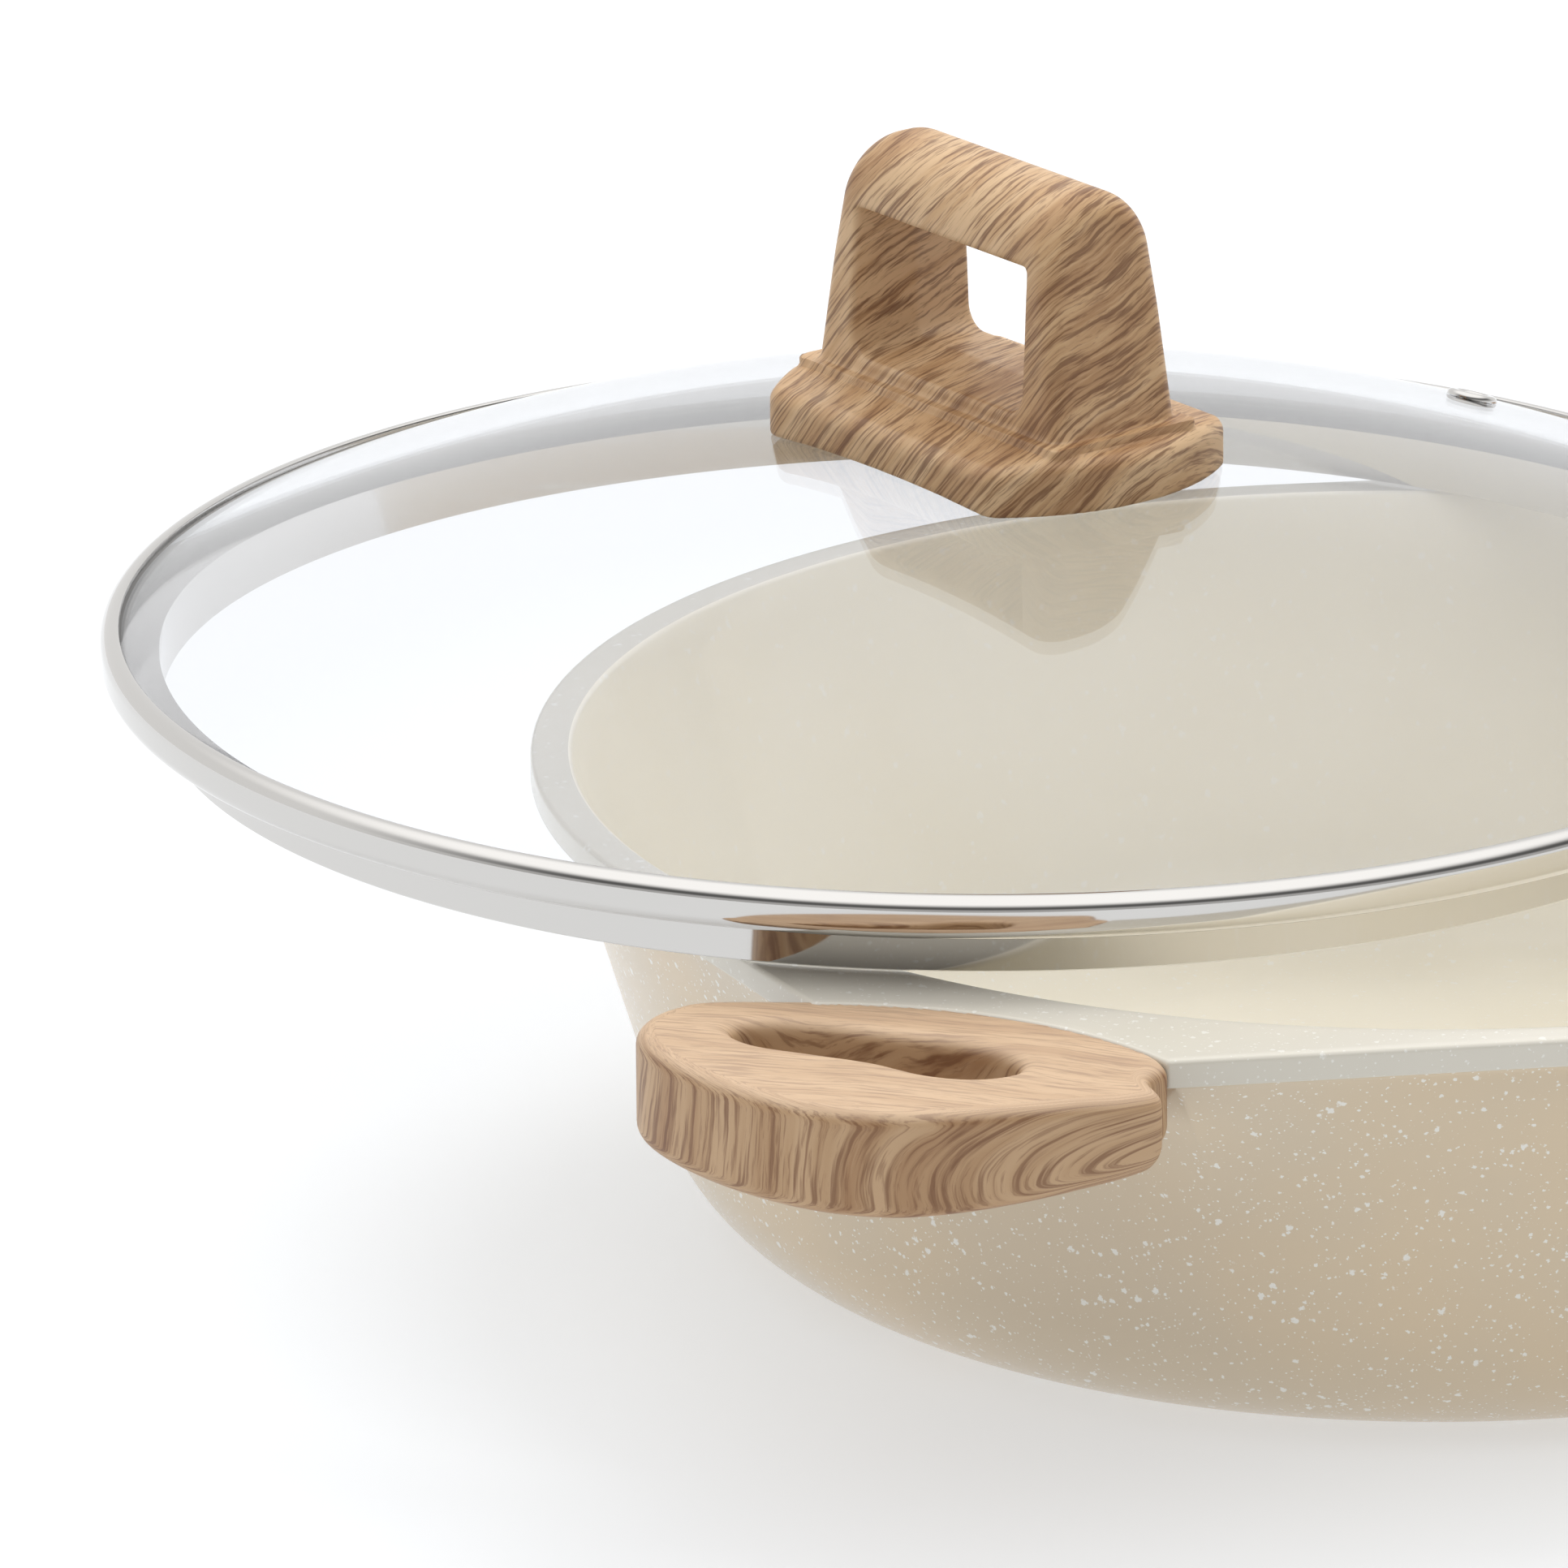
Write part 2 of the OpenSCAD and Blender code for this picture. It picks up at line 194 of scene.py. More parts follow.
def outline_distance(outline, x, y):
    """Distance from (x, y) to a closed outline, negative inside it."""
    nearest = np.full(np.broadcast(x, y).shape, np.inf)
    inside = np.zeros(nearest.shape, bool)
    for (x0, y0), (x1, y1) in zip(outline, np.roll(outline, -1, axis=0)):
        dx, dy = x1 - x0, y1 - y0
        along = np.clip(((x - x0) * dx + (y - y0) * dy) / (dx * dx + dy * dy), 0, 1)
        nearest = np.minimum(nearest, np.hypot(x - x0 - along * dx, y - y0 - along * dy))
        if y0 != y1:
            crosses = ((y0 > y) != (y1 > y)) & (x < x0 + (y - y0) * dx / dy)
            inside ^= crosses
    return np.where(inside, -nearest, nearest)


def meet(a, b, radius):
    """What two fields share, with a rounded edge."""
    a, b = np.broadcast_arrays(a, b)
    corner = np.hypot(np.maximum(a + radius, 0), np.maximum(b + radius, 0))
    return np.minimum(np.maximum(a, b), -radius) + corner


def blend(a, b, radius):
    """Two fields as one, with a hollow fillet between them."""
    return -meet(-a, -b, radius)


def surface_net(field, low, high, step):
    """Points and faces of the surface where a field is zero."""
    axes = [np.arange(lo, hi + step, step) for lo, hi in zip(low, high)]
    grid = np.meshgrid(*axes, indexing="ij", sparse=True)
    value = field(*grid)
    shape = np.array(value.shape)
    total = np.zeros((*(shape - 1), 3))
    count = np.zeros(shape - 1)
    crossings = []
    for axis in range(3):
        ahead = np.moveaxis(value, axis, 0)
        first, second = ahead[:-1], ahead[1:]
        crossed = (first < 0) != (second < 0)
        crossings.append((axis, crossed, first < 0))
        with np.errstate(divide="ignore", invalid="ignore"):
            part = np.where(crossed, first / (first - second), 0)
        here = np.stack([np.moveaxis(np.broadcast_to(g, value.shape), axis, 0)[:-1] for g in grid], -1)
        here = here * crossed[..., None]
        here[..., axis] += part * step
        weight = crossed.astype(float)
        for side_a in (0, 1):
            for side_b in (0, 1):
                cut = (slice(None), slice(side_a, crossed.shape[1] - 1 + side_a),
                       slice(side_b, crossed.shape[2] - 1 + side_b))
                total += np.moveaxis(here[cut], 0, axis)
                count += np.moveaxis(weight[cut], 0, axis)
    used = count > 0
    number = np.full(count.shape, -1)
    number[used] = np.arange(used.sum())
    points = total[used] / count[used][:, None]
    faces = []
    for axis, crossed, starts_inside in crossings:
        cells = np.moveaxis(number, axis, 0)
        edge = crossed[:, 1:-1, 1:-1]
        flip = starts_inside[:, 1:-1, 1:-1][edge] ^ (axis == 1)
        quad = np.stack([cells[:, :-1, :-1][edge], cells[:, 1:, :-1][edge],
                         cells[:, 1:, 1:][edge], cells[:, :-1, 1:][edge]], -1)
        quad[~flip] = quad[~flip][:, ::-1]
        faces.append(quad)
    return settle(field, points), np.concatenate(faces).tolist()


def slope(field, points, reach=0.02):
    """Gradient of a field at some points."""
    parts = []
    for axis in range(3):
        offset = np.zeros(3)
        offset[axis] = reach
        parts.append(field(*(points + offset).T) - field(*(points - offset).T))
    return np.stack(parts, -1) / (2 * reach)


def settle(field, points, rounds=3):
    """Moves points onto the surface where the field is zero."""
    for _ in range(rounds):
        gradient = slope(field, points)
        length2 = np.maximum((gradient**2).sum(1), 0.2)
        points = points - gradient * (field(*points.T) / length2)[:, None]
    return points


# ---------------------------------------------------------------- materials

class Nodes:
    """A short way to write one material's node tree."""

    def __init__(self, name):
        self.material = bpy.data.materials.new(name)
        self.material.use_nodes = True
        self.tree = self.material.node_tree
        self.shader = self.tree.nodes["Principled BSDF"]
        self.output = self.tree.nodes["Material Output"]

    def put(self, socket, value):
        """Links a socket to another one, or gives it a constant."""
        if isinstance(value, bpy.types.NodeSocket):
            self.tree.links.new(value, socket)
        else:
            socket.default_value = value

    def node(self, kind, inputs=None, **settings):
        """A new node with its inputs linked or given constants, and its settings made."""
        node = self.tree.nodes.new(kind)
        for key, value in settings.items():
            setattr(node, key, value)
        for key, value in (inputs or {}).items():
            self.put(node.inputs[key], value)
        return node

    def math(self, operation, a, b):
        """One sum on two values, each a socket or a number."""
        return self.node("ShaderNodeMath", {0: a, 1: b}, operation=operation).outputs[0]

    def object_point(self):
        """Position in the object's frame, in millimetres."""
        point = self.node("ShaderNodeTexCoord").outputs["Object"]
        return self.stretch(point, (1000.0, 1000.0, 1000.0))

    def stretch(self, vector, scale):
        """A vector with each of its axes scaled."""
        return self.node("ShaderNodeMapping", {"Vector": vector, "Scale": scale}).outputs[0]

    def noise(self, vector, scale, detail, roughness=0.5):
        """Soft noise, mostly between 0.3 and 0.7."""
        inputs = {"Vector": vector, "Scale": scale, "Detail": detail, "Roughness": roughness}
        return self.node("ShaderNodeTexNoise", inputs).outputs[0]

    def ramp(self, value, stops):
        """Colour ramp through (position, colour) stops."""
        node = self.node("ShaderNodeValToRGB", {0: value})
        ramp = node.color_ramp
        while len(ramp.elements) < len(stops):
            ramp.elements.new(0.5)
        for element, (position, colour) in zip(ramp.elements, stops):
            element.position = position
            element.color = colour if len(colour) == 4 else (*colour, 1)
        return node.outputs[0]

    def levels(self, value, low, high):
        """0 below low, 1 above high, and a smooth step between."""
        node = self.node("ShaderNodeMapRange", {"Value": value, "From Min": low, "From Max": high},
                         interpolation_type="SMOOTHSTEP")
        return node.outputs[0]

    def mix(self, factor, a, b):
        """Colour a where the factor is 0, b where it is 1."""
        node = self.node("ShaderNodeMix", data_type="RGBA")
        self.put(node.inputs[0], factor)
        self.put(node.inputs[6], a)
        self.put(node.inputs[7], b)
        return node.outputs[2]

    def bump(self, height, strength, distance):
        """Surface relief; distance is in metres."""
        node = self.node("ShaderNodeBump", {"Height": height, "Strength": strength, "Distance": distance})
        self.put(self.shader.inputs["Normal"], node.outputs[0])

    def set(self, **values):
        """Inputs of the surface shader, with _ for a space in their names."""
        for key, value in values.items():
            self.put(self.shader.inputs[key.replace("_", " ")], value)


def srgb(red, green, blue):
    """Linear colour from 0-255 display values."""
    def linear(c):
        c = c / 255
        return c / 12.92 if c <= 0.04045 else ((c + 0.055) / 1.055) ** 2.4
    return (linear(red), linear(green), linear(blue), 1.0)


def coating_material(name, base, shade, fleck, fleck_share, fleck_size, fleck_depth):
    """Glossy ceramic coat with pale irregular flecks of three sizes, in millimetres."""
    n = Nodes(name)
    point = n.object_point()
    broad = n.noise(point, 0.02, detail=2)
    colour = n.mix(n.levels(broad, 0.35, 0.65), base, shade)
    flecks = None
    for size in (fleck_size, 0.55 * fleck_size, 0.3 * fleck_size):
        warp = n.noise(point, 1.1 / size, detail=3)
        near = n.node("ShaderNodeTexVoronoi", {"Vector": point, "Scale": 0.3 / size, "Randomness": 1.0})
        ragged = n.math("MULTIPLY", n.math("SUBTRACT", warp, 0.5), 0.6)
        distance = n.math("ADD", near.outputs["Distance"], ragged)
        chance = n.node("ShaderNodeSeparateColor", {0: near.outputs["Color"]}).outputs[0]
        reach = n.math("MULTIPLY", n.levels(chance, 1 - fleck_share, 1.0), 0.24)
        spot = n.levels(n.math("SUBTRACT", reach, distance), -0.04, 0.05)
        flecks = spot if flecks is None else n.math("MAXIMUM", flecks, spot)
    n.set(Base_Color=n.mix(n.math("MULTIPLY", flecks, fleck_depth), colour, fleck), Roughness=0.26,
          Coat_Weight=0.3, Coat_Roughness=0.15, Specular_IOR_Level=0.5)
    n.bump(n.noise(point, 0.35, detail=3), 0.06, 0.0002)
    return n.material


def wood_material(name, light, middle, deep, vein, painted_top_light):
    """Satin moulding printed with oak grain, with a painted highlight on faces that look up, by the share
    painted_top_light.

    It reads the "grain" attribute: millimetres across the grain, along it, and on a third axis.
    """
    n = Nodes(name)
    grain = n.node("ShaderNodeAttribute", attribute_name="grain").outputs["Vector"]
    sway = n.noise(n.stretch(grain, (0.03, 0.03, 0.03)), 1.0, detail=1)
    ripple = n.noise(n.stretch(grain, (0.3, 0.2, 0.2)), 1.0, detail=2)
    bend = n.math("ADD", n.math("MULTIPLY", sway, 7.0), n.math("MULTIPLY", ripple, 0.9))
    shift = n.node("ShaderNodeCombineXYZ", {0: bend}).outputs[0]
    bent = n.node("ShaderNodeVectorMath", {0: grain, 1: shift}, operation="ADD").outputs[0]
    broad = n.noise(n.stretch(bent, (0.17, 0.012, 0.012)), 1.0, detail=3, roughness=0.6)
    streaks = n.noise(n.stretch(bent, (1.25, 0.075, 0.075)), 1.0, detail=3, roughness=0.55)
    pores = n.noise(n.stretch(bent, (2.4, 0.22, 0.22)), 1.0, detail=3, roughness=0.6)
    colour = n.ramp(broad, [(0.36, deep), (0.48, middle), (0.60, light)])
    dark = n.levels(streaks, 0.48, 0.64)
    colour = n.mix(n.math("MULTIPLY", dark, 0.72), colour, vein)
    pale = n.levels(streaks, 0.45, 0.32)
    colour = n.mix(n.math("MULTIPLY", pale, 0.4), colour, light)
    colour = n.mix(n.math("MULTIPLY", n.levels(pores, 0.54, 0.66), 0.45), colour, vein)
    # Painted highlight: faces that look up are mixed towards a pale colour that stands in for light from
    # above. It is not in the print.
    normal = n.node("ShaderNodeNewGeometry").outputs["Normal"]
    upward = n.levels(n.node("ShaderNodeSeparateXYZ", {0: normal}).outputs["Z"], 0.3, 0.9)
    colour = n.mix(n.math("MULTIPLY", upward, painted_top_light), colour, srgb(238, 212, 184))
    n.set(Base_Color=colour, Roughness=0.46, Specular_IOR_Level=0.4)
    n.bump(streaks, 0.12, 0.0002)
    return n.material


def metal_material(name, colour, roughness):
    """Metal with fine drawn lines in its roughness."""
    n = Nodes(name)
    point = n.node("ShaderNodeTexCoord").outputs["Object"]
    lines = n.noise(n.stretch(point, (40, 40, 900)), 1.0, detail=3)
    limits = {"Value": lines, "To Min": 0.7 * roughness, "To Max": 1.3 * roughness}
    spread = n.node("ShaderNodeMapRange", limits)
    n.set(Base_Color=colour, Metallic=1.0, Roughness=spread.outputs[0])
    return n.material


def rubber_material(name):
    """Black silicone, a little mottled."""
    n = Nodes(name)
    mottle = n.noise(n.object_point(), 1.5, detail=2)
    black = n.ramp(mottle, [(0.3, (0.02, 0.02, 0.02)), (0.7, (0.035, 0.035, 0.035))])
    n.set(Base_Color=black, Roughness=0.6)
    return n.material


def glass_material(name):
    """Clear glass that lets lamps through."""
    n = Nodes(name)
    n.set(Base_Color=(0.86, 0.868, 0.888, 1), Roughness=0.0, IOR=1.5, Transmission_Weight=1.0)
    clear = n.node("ShaderNodeBsdfTransparent", {"Color": (0.99, 0.99, 0.99, 1)})
    lamp_ray = n.node("ShaderNodeLightPath").outputs["Is Shadow Ray"]
    both = n.node("ShaderNodeMixShader", {0: lamp_ray, 1: n.shader.outputs[0], 2: clear.outputs[0]})
    n.put(n.output.inputs["Surface"], both.outputs[0])
    return n.material


def floor_material(name):
    """Pale floor that glows a little, so that shadows on it stay light."""
    n = Nodes(name)
    n.set(Base_Color=(0.43, 0.445, 0.462, 1), Roughness=0.6, Specular_IOR_Level=0.1,
          Emission_Color=(1.0, 1.0, 1.0, 1), Emission_Strength=0.50)
    return n.material


COAT_INSIDE = coating_material("coat_inside", srgb(249, 243, 227), srgb(247, 240, 222),
                               srgb(253, 253, 250), 0.5, 0.8, 0.45)
# The rim's top and outer band are the inside's cream coat made darker: painted shade that stands in for the
# lower light on the rim.
COAT_RIM_PAINTED_SHADE = coating_material("coat_rim_painted_shade", srgb(212, 207, 195), srgb(208, 203, 190),
                            srgb(240, 241, 238), 0.5, 0.8, 0.45)
COAT_OUTSIDE = coating_material("coat_outside", srgb(211, 192, 163), srgb(205, 190, 166),
                                srgb(240, 244, 243), 0.6, 0.8, 0.65)
# The handles' print is the knob's print made darker, as painted shade for the lid's shadow over the handles.
# It is also paler on faces that look up, as a painted highlight.
HANDLE_WOOD_PAINTED_LIGHT_AND_SHADE = wood_material("wood_look", srgb(188, 156, 121), srgb(175, 141, 105), srgb(158, 121, 86),
                     srgb(112, 72, 44), 0.34)
KNOB_WOOD = wood_material("wood_look_knob", srgb(209, 176, 137), srgb(193, 156, 115), srgb(171, 132, 93),
                          srgb(104, 64, 37), 0.0)
POLISHED = metal_material("polished_steel", (0.60, 0.585, 0.565, 1), 0.07)
BRUSHED = metal_material("brushed_steel", (0.62, 0.62, 0.61, 1), 0.3)
ALUMINIUM = metal_material("bare_aluminium", (0.70, 0.70, 0.69, 1), 0.35)
BRASS = metal_material("brass", (0.72, 0.53, 0.27, 1), 0.25)
RUBBER = rubber_material("silicone")
GLASS = glass_material("clear_glass")
FLOOR = floor_material("floor")


# ---------------------------------------------------------------- pan

def rim_reach(theta):
    """Distance from the axis to the edge of the rim and its ears, at an angle from the X axis."""
    off = np.abs((theta + math.pi / 2) % math.pi - math.pi / 2)
    flank = np.where(off < EAR_TANGENT, RIM_R / np.cos(off - EAR_TANGENT), RIM_R)
    far_away = 1000.0
    inside = np.maximum(HOLLOW_R**2 - (HOLLOW_X * np.sin(off))**2, 0)
    hollow = HOLLOW_X * np.cos(off) - np.sqrt(inside)
    hollow = np.where(off < EAR_HALF_ANGLE, hollow, far_away)
    soft = 0.6
    gap = np.clip(0.5 + 0.5 * (flank - hollow) / soft, 0, 1)
    return flank * (1 - gap) + hollow * gap - soft * gap * (1 - gap)


def wall_radius(z, top_r, top_z):
    """Radius of a leaning wall at height z."""
    return top_r - (top_z - z) * math.tan(WALL_LEAN)


def round_centre(wall_r_at_centre, radius):
    """Radius at which the rounding between base and wall has its centre."""
    return wall_r_at_centre - radius / math.cos(WALL_LEAN)


def pan_rings():
    """Each ring of the pan as (radius, height, share by which it follows the ears)."""
    edge = 0.9
    fillet = 2.2
    lean = math.degrees(WALL_LEAN)
    outer_c = round_centre(wall_radius(OUTER_ROUND, WALL_TOP_R, BAND_Z), OUTER_ROUND)
    inner_z = BASE_T + INNER_ROUND
    inner_c = round_centre(wall_radius(inner_z, MOUTH_R, PAN_H), INNER_ROUND)
    rings = [(0, DISC_T, 0), (DISC_R, DISC_T, 0), (DISC_R, 0.3, 0), (DISC_R + 0.3, 0, 0), (outer_c - 4, 0, 0)]
    rings += [(r, z, 0) for r, z in arc((outer_c, OUTER_ROUND), OUTER_ROUND, -90, -lean, 20)]
    low = OUTER_ROUND - OUTER_ROUND * math.sin(WALL_LEAN)
    for z in np.linspace(low, BAND_Z - fillet, 34)[1:]:
        share = max(0.0, 1 - (BAND_Z - z) / EAR_BLEND_H) ** 2
        rings.append((wall_radius(z, WALL_TOP_R, BAND_Z), z, share))
    overhang = RIM_R - WALL_TOP_R
    for part in np.linspace(0.1, 1, 8):
        z = BAND_Z - fillet * (1 - part)
        share = max(0.0, 1 - (BAND_Z - z) / EAR_BLEND_H) ** 2
        swell = (overhang - 0.5) * (1 - math.sqrt(max(0.0, 1 - part**2)))
        rings.append((wall_radius(z, WALL_TOP_R, BAND_Z) + swell, z, share))
    rings += [(r, z, 1) for r, z in arc((RIM_R - 0.5, BAND_Z + 0.5), 0.5, -90, 0, 4)]
    rings += [(r, z, 1) for r, z in arc((RIM_R - edge, PAN_H - edge), edge, 0, 90, 6)]
    rings += [(RIM_R - 2.5, PAN_H, 1), (MOUTH_R + 2.5, PAN_H, 0)]
    rings += [(r, z, 0) for r, z in arc((MOUTH_R + 1.2, PAN_H - 1.2), 1.2, 90, 180 - lean, 6)]
    rings += [(wall_radius(z, MOUTH_R, PAN_H), z, 0) for z in np.linspace(PAN_H - 3, inner_z, 14)]
    rings += [(r, z, 0) for r, z in arc((inner_c, inner_z), INNER_ROUND, -lean, -90, 16)]
    rings += [(inner_c / 2, BASE_T, 0), (0, BASE_T, 0)]
    return rings


def pan_angles():
    """Angles round the pan, closer together where the ears' corners are."""
    corner = math.atan2(EAR_HALF_W, EAR_X)
    half = list(np.radians(np.arange(-90, 90, 0.5)))
    for side in (-1, 1):
        half += list(side * corner + np.radians(np.arange(-1.5, 1.5, 0.08)))
    half = np.unique(np.round(half, 5))
    return np.concatenate([half, half + math.pi])


def build_pan():
    """The coated casting, in one turned and stretched skin."""
    theta = pan_angles()
    rings = np.array(pan_rings())
    extra = rim_reach(theta) - RIM_R
    radius = rings[None, :, 0] + rings[None, :, 2] * extra[:, None]
    height = np.broadcast_to(rings[None, :, 1], radius.shape)
    points = np.stack([radius * np.cos(theta)[:, None], radius * np.sin(theta)[:, None], height], -1)
    faces = wrapped_quads(len(theta), len(rings), closed_profile=False)
    piece = add_object("pan", points.reshape(-1, 3), faces, "pan",
                       [COAT_INSIDE, COAT_RIM_PAINTED_SHADE, COAT_OUTSIDE], replaces=["pan_body"], smooth_angle=50)
    rim_start = int(np.argmax(rings[:, 1] > BAND_Z - 0.1))
    rim_end = len(rings) - int(np.argmax(rings[::-1, 1] > PAN_H - 0.1)) - 1
    ring_of_face = np.arange(len(faces)) % (len(rings) - 1)
    # Slot 1, on the rim's top and outer band, holds the darker copy of the inside coat, which is painted
    # shade.
    material_slot = np.where(ring_of_face < rim_start, 2, np.where(ring_of_face < rim_end, 1, 0))
    piece.data.polygons.foreach_set("material_index", material_slot.astype(np.int32))
    weld(piece)
    return piece


def weld(piece):
    """Joins points that share a place."""
    mesh = bmesh.new()
    mesh.from_mesh(piece.data)
    bmesh.ops.remove_doubles(mesh, verts=mesh.verts, dist=1e-6)
    bmesh.ops.recalc_face_normals(mesh, faces=mesh.faces)
    mesh.to_mesh(piece.data)
    mesh.free()


def build_studs():
    """Aluminium studs that fill the holes in the base's steel disc."""
    disc = [(STUD_R, 0.02), (STUD_R, DISC_T), (0.0, DISC_T), (0.0, 0.02)]
    one, quads = lathe(disc, 24)
    points, faces = [], []
    for ring in (1, 2, 3):
        for k in range(8 * ring):
            a = 2 * math.pi * k / (8 * ring)
            reach = ring * 2 * DISC_R / 7.5
            faces += [[i + len(points) * len(one) for i in q] for q in quads]
            points.append(one + [reach * math.cos(a), reach * math.sin(a), 0])
    piece = add_object("base_studs", np.concatenate(points), faces, "pan", [ALUMINIUM])
    weld(piece)


# ---------------------------------------------------------------- side handles

HANDLE_OUTLINE = smooth_curve([
    (162.4, 31.9), (169.3, 32.4), (175.8, 37.6), (181.6, 34.4), (186.4, 28.4), (193.0, 21.0),
    (199.4, 12.6), (204.6, 3.4), (206.8, -6.0), (206.2, -16.0), (203.2, -27.0), (198.4, -37.4),
    (192.4, -46.0), (186.0, -51.2), (179.6, -53.0), (173.2, -52.0), (167.6, -48.2), (161.5, -36.5),
    (155.5, -22.0), (152.0, -8.0), (152.0, 8.0), (155.0, 22.0),
])
SLOT_OUTLINE = smooth_curve([
    (178.6, -37.5), (182.2, -31.0), (181.8, -20.0), (181.4, -10.0), (182.8, 0.0), (181.0, 7.5),
    (176.0, 11.5), (170.8, 8.5), (168.4, 0.0), (169.2, -15.0), (170.6, -28.0), (173.8, -36.0),
])


def handle_field(x, y, z):
    """The side handle that points along +X."""
    middle = HANDLE_TOP - HANDLE_T / 2
    plan = outline_distance(HANDLE_OUTLINE, x, y)
    slab = np.abs(z - middle) - HANDLE_T / 2
    ear = np.maximum(np.maximum(x - EAR_X - EAR_GAP, np.abs(y) - EAR_HALF_W - EAR_GAP),
                     HOLLOW_R - HOLLOW_GAP - np.hypot(x - HOLLOW_X, y))
    body = meet(plan, slab, HANDLE_ROUND)
    chamfer = HANDLE_TOP - HANDLE_T + CHAMFER_SLOPE * (y - CHAMFER_START_Y) - z
    body = meet(body, chamfer, CHAMFER_ROUND)
    body = meet(body, -outline_distance(SLOT_OUTLINE, x, y), SLOT_ROUND)
    body = meet(body, -ear, 0.3)
    tenon = np.maximum(np.maximum(np.abs(x - TENON_X) - TENON_HALF_L, np.abs(y) - TENON_HALF_W),
                       np.abs(z - TENON_Z) - TENON_HALF_H)
    bores = np.maximum(np.hypot(x - BORE_X, np.abs(y) - BORE_Y) - BORE_R, z - BORE_TOP)
    return np.maximum(np.minimum(body, tenon), -bores)


def handle_grain(points):
    """Where each point lies in the printed film.

    The print runs lengthways on the top and upright down the front, where it also curls round a knot.
    """
    x, y, z = points.T
    plan = outline_distance(HANDLE_OUTLINE, x, y)
    front = np.clip(1 + plan / 3.0, 0, 1) * np.clip((x - 165) / 10, 0, 1)
    down = (HANDLE_TOP - z) * front
    knot = np.hypot((y - KNOT_Y) * 0.5, z - KNOT_Z)
    swirl = front * np.clip((y + 14) / 24, 0, 1)
    lengthways = x + 0.2 * y + 0.35 * (HANDLE_TOP - z)
    upright = 200 + 0.75 * y + 0.12 * down
    across = lengthways * (1 - front) + (upright * (1 - swirl) + (224 - 1.1 * knot) * swirl) * front
    along = y * (1 - front) + (0.5 * z + 0.2 * y) * front
    return np.stack([across, along, z * 0.15], -1)


def build_handle(name, body, node, turn):
    """A side handle; turn is 1 for the one turned half round, 0 for the other."""
    points, faces = surface_net(handle_field, (143, -58, 60), (212, 43, 83), GRID_STEP)
    grain = handle_grain(points)
    if turn:
        points = points * [-1, -1, 1]
    piece = add_object(name, points, faces, body, [HANDLE_WOOD_PAINTED_LIGHT_AND_SHADE], replaces=[node], smooth_angle=55)
    set_vector_attribute(piece, "grain", grain + [40 * turn, 90 * turn, 0])
    return piece


# ---------------------------------------------------------------- lid

def at_lid(points):
    """Points from the lid's frame in the object's frame."""
    return np.asarray(points) + [LID_X, LID_Y, LID_Z]


def build_glass():
    """The dome, with a hole for the knob's screw."""
    centre = (0, APEX_Z - DOME_R)
    faces_r = (DOME_R, DOME_R - GLASS_T)
    edge = [math.degrees(math.acos(GLASS_EDGE_R / r)) for r in faces_r]
    hole = [math.degrees(math.acos(SCREW_HOLE_R / r)) for r in faces_r]
    outer = arc(centre, faces_r[0], hole[0], edge[0], 60)
    inner = arc(centre, faces_r[1], edge[1], hole[1], 60)
    points, faces = lathe(outer + inner, 360)
    piece = add_object("lid_glass_dome", at_lid(points), faces, "lid", [GLASS],
                       replaces=["lid_glass"], smooth_angle=40)
    weld(piece)


def build_band():
    """Strip rolled round the edge of the glass, with a skirt below."""
    skirt_in = SKIRT_R - STEEL_T
    profile = [(skirt_in, 0.2), (SKIRT_R - 0.4, 0), (SKIRT_R, 0.3)]
    profile += arc((SKIRT_R + 1.0, CREASE_Z - 1.0), 1.0, 180, 90, 6)
    profile += arc((BEAD_R - 2.4, CREASE_Z + 2.4), 2.4, -90, 0, 9)
    profile += arc((BEAD_R - 2.6, BEAD_TOP - 2.6), 2.6, 0, 90, 9)
    profile += arc((LIP_R + 0.35, BEAD_TOP - 0.35), 0.35, 90, 180, 4)
    profile += [(LIP_R, BEAD_TOP - STEEL_T), (BEAD_R - 2.4, BEAD_TOP - STEEL_T)]
    profile += arc((BEAD_R - 2.4, BEAD_TOP - 2.4), 1.6, 90, 0, 5)
    profile += arc((BEAD_R - 2.2, CREASE_Z + 2.4), 1.4, 0, -90, 5)
    profile += [(skirt_in, CREASE_Z + STEEL_T)]
    points, faces = lathe(profile, 480)
    piece = add_object("lid_steel_band", at_lid(points), faces, "lid", [POLISHED],
                       replaces=["lid_band"], smooth_angle=35)
    weld(piece)


def build_vent():
    """Rolled eyelet in the steam hole."""
    profile = [(2.2, -5.0), (2.8, -5.0), (2.8, 0.1), (4.4, 0.1)]
    profile += arc((3.5, 0.25), 0.9, 0, 90, 6) + arc((3.1, 0.25), 0.9, 90, 180, 6)
    points, faces = lathe(profile, 64)
    tilt = math.asin(VENT_R / DOME_R)
    place = (Matrix.Translation((LID_X, LID_Y, LID_Z + APEX_Z - DOME_R)) @ Matrix.Rotation(VENT_DIR, 4, "Z")
             @ Matrix.Rotation(tilt, 4, "Y") @ Matrix.Translation((0, 0, DOME_R)))
    piece = add_object("steam_vent", moved(points, place), faces, "lid", [POLISHED],
                       replaces=["vent_eyelet"], smooth_angle=50)
    weld(piece)


# ---------------------------------------------------------------- knob

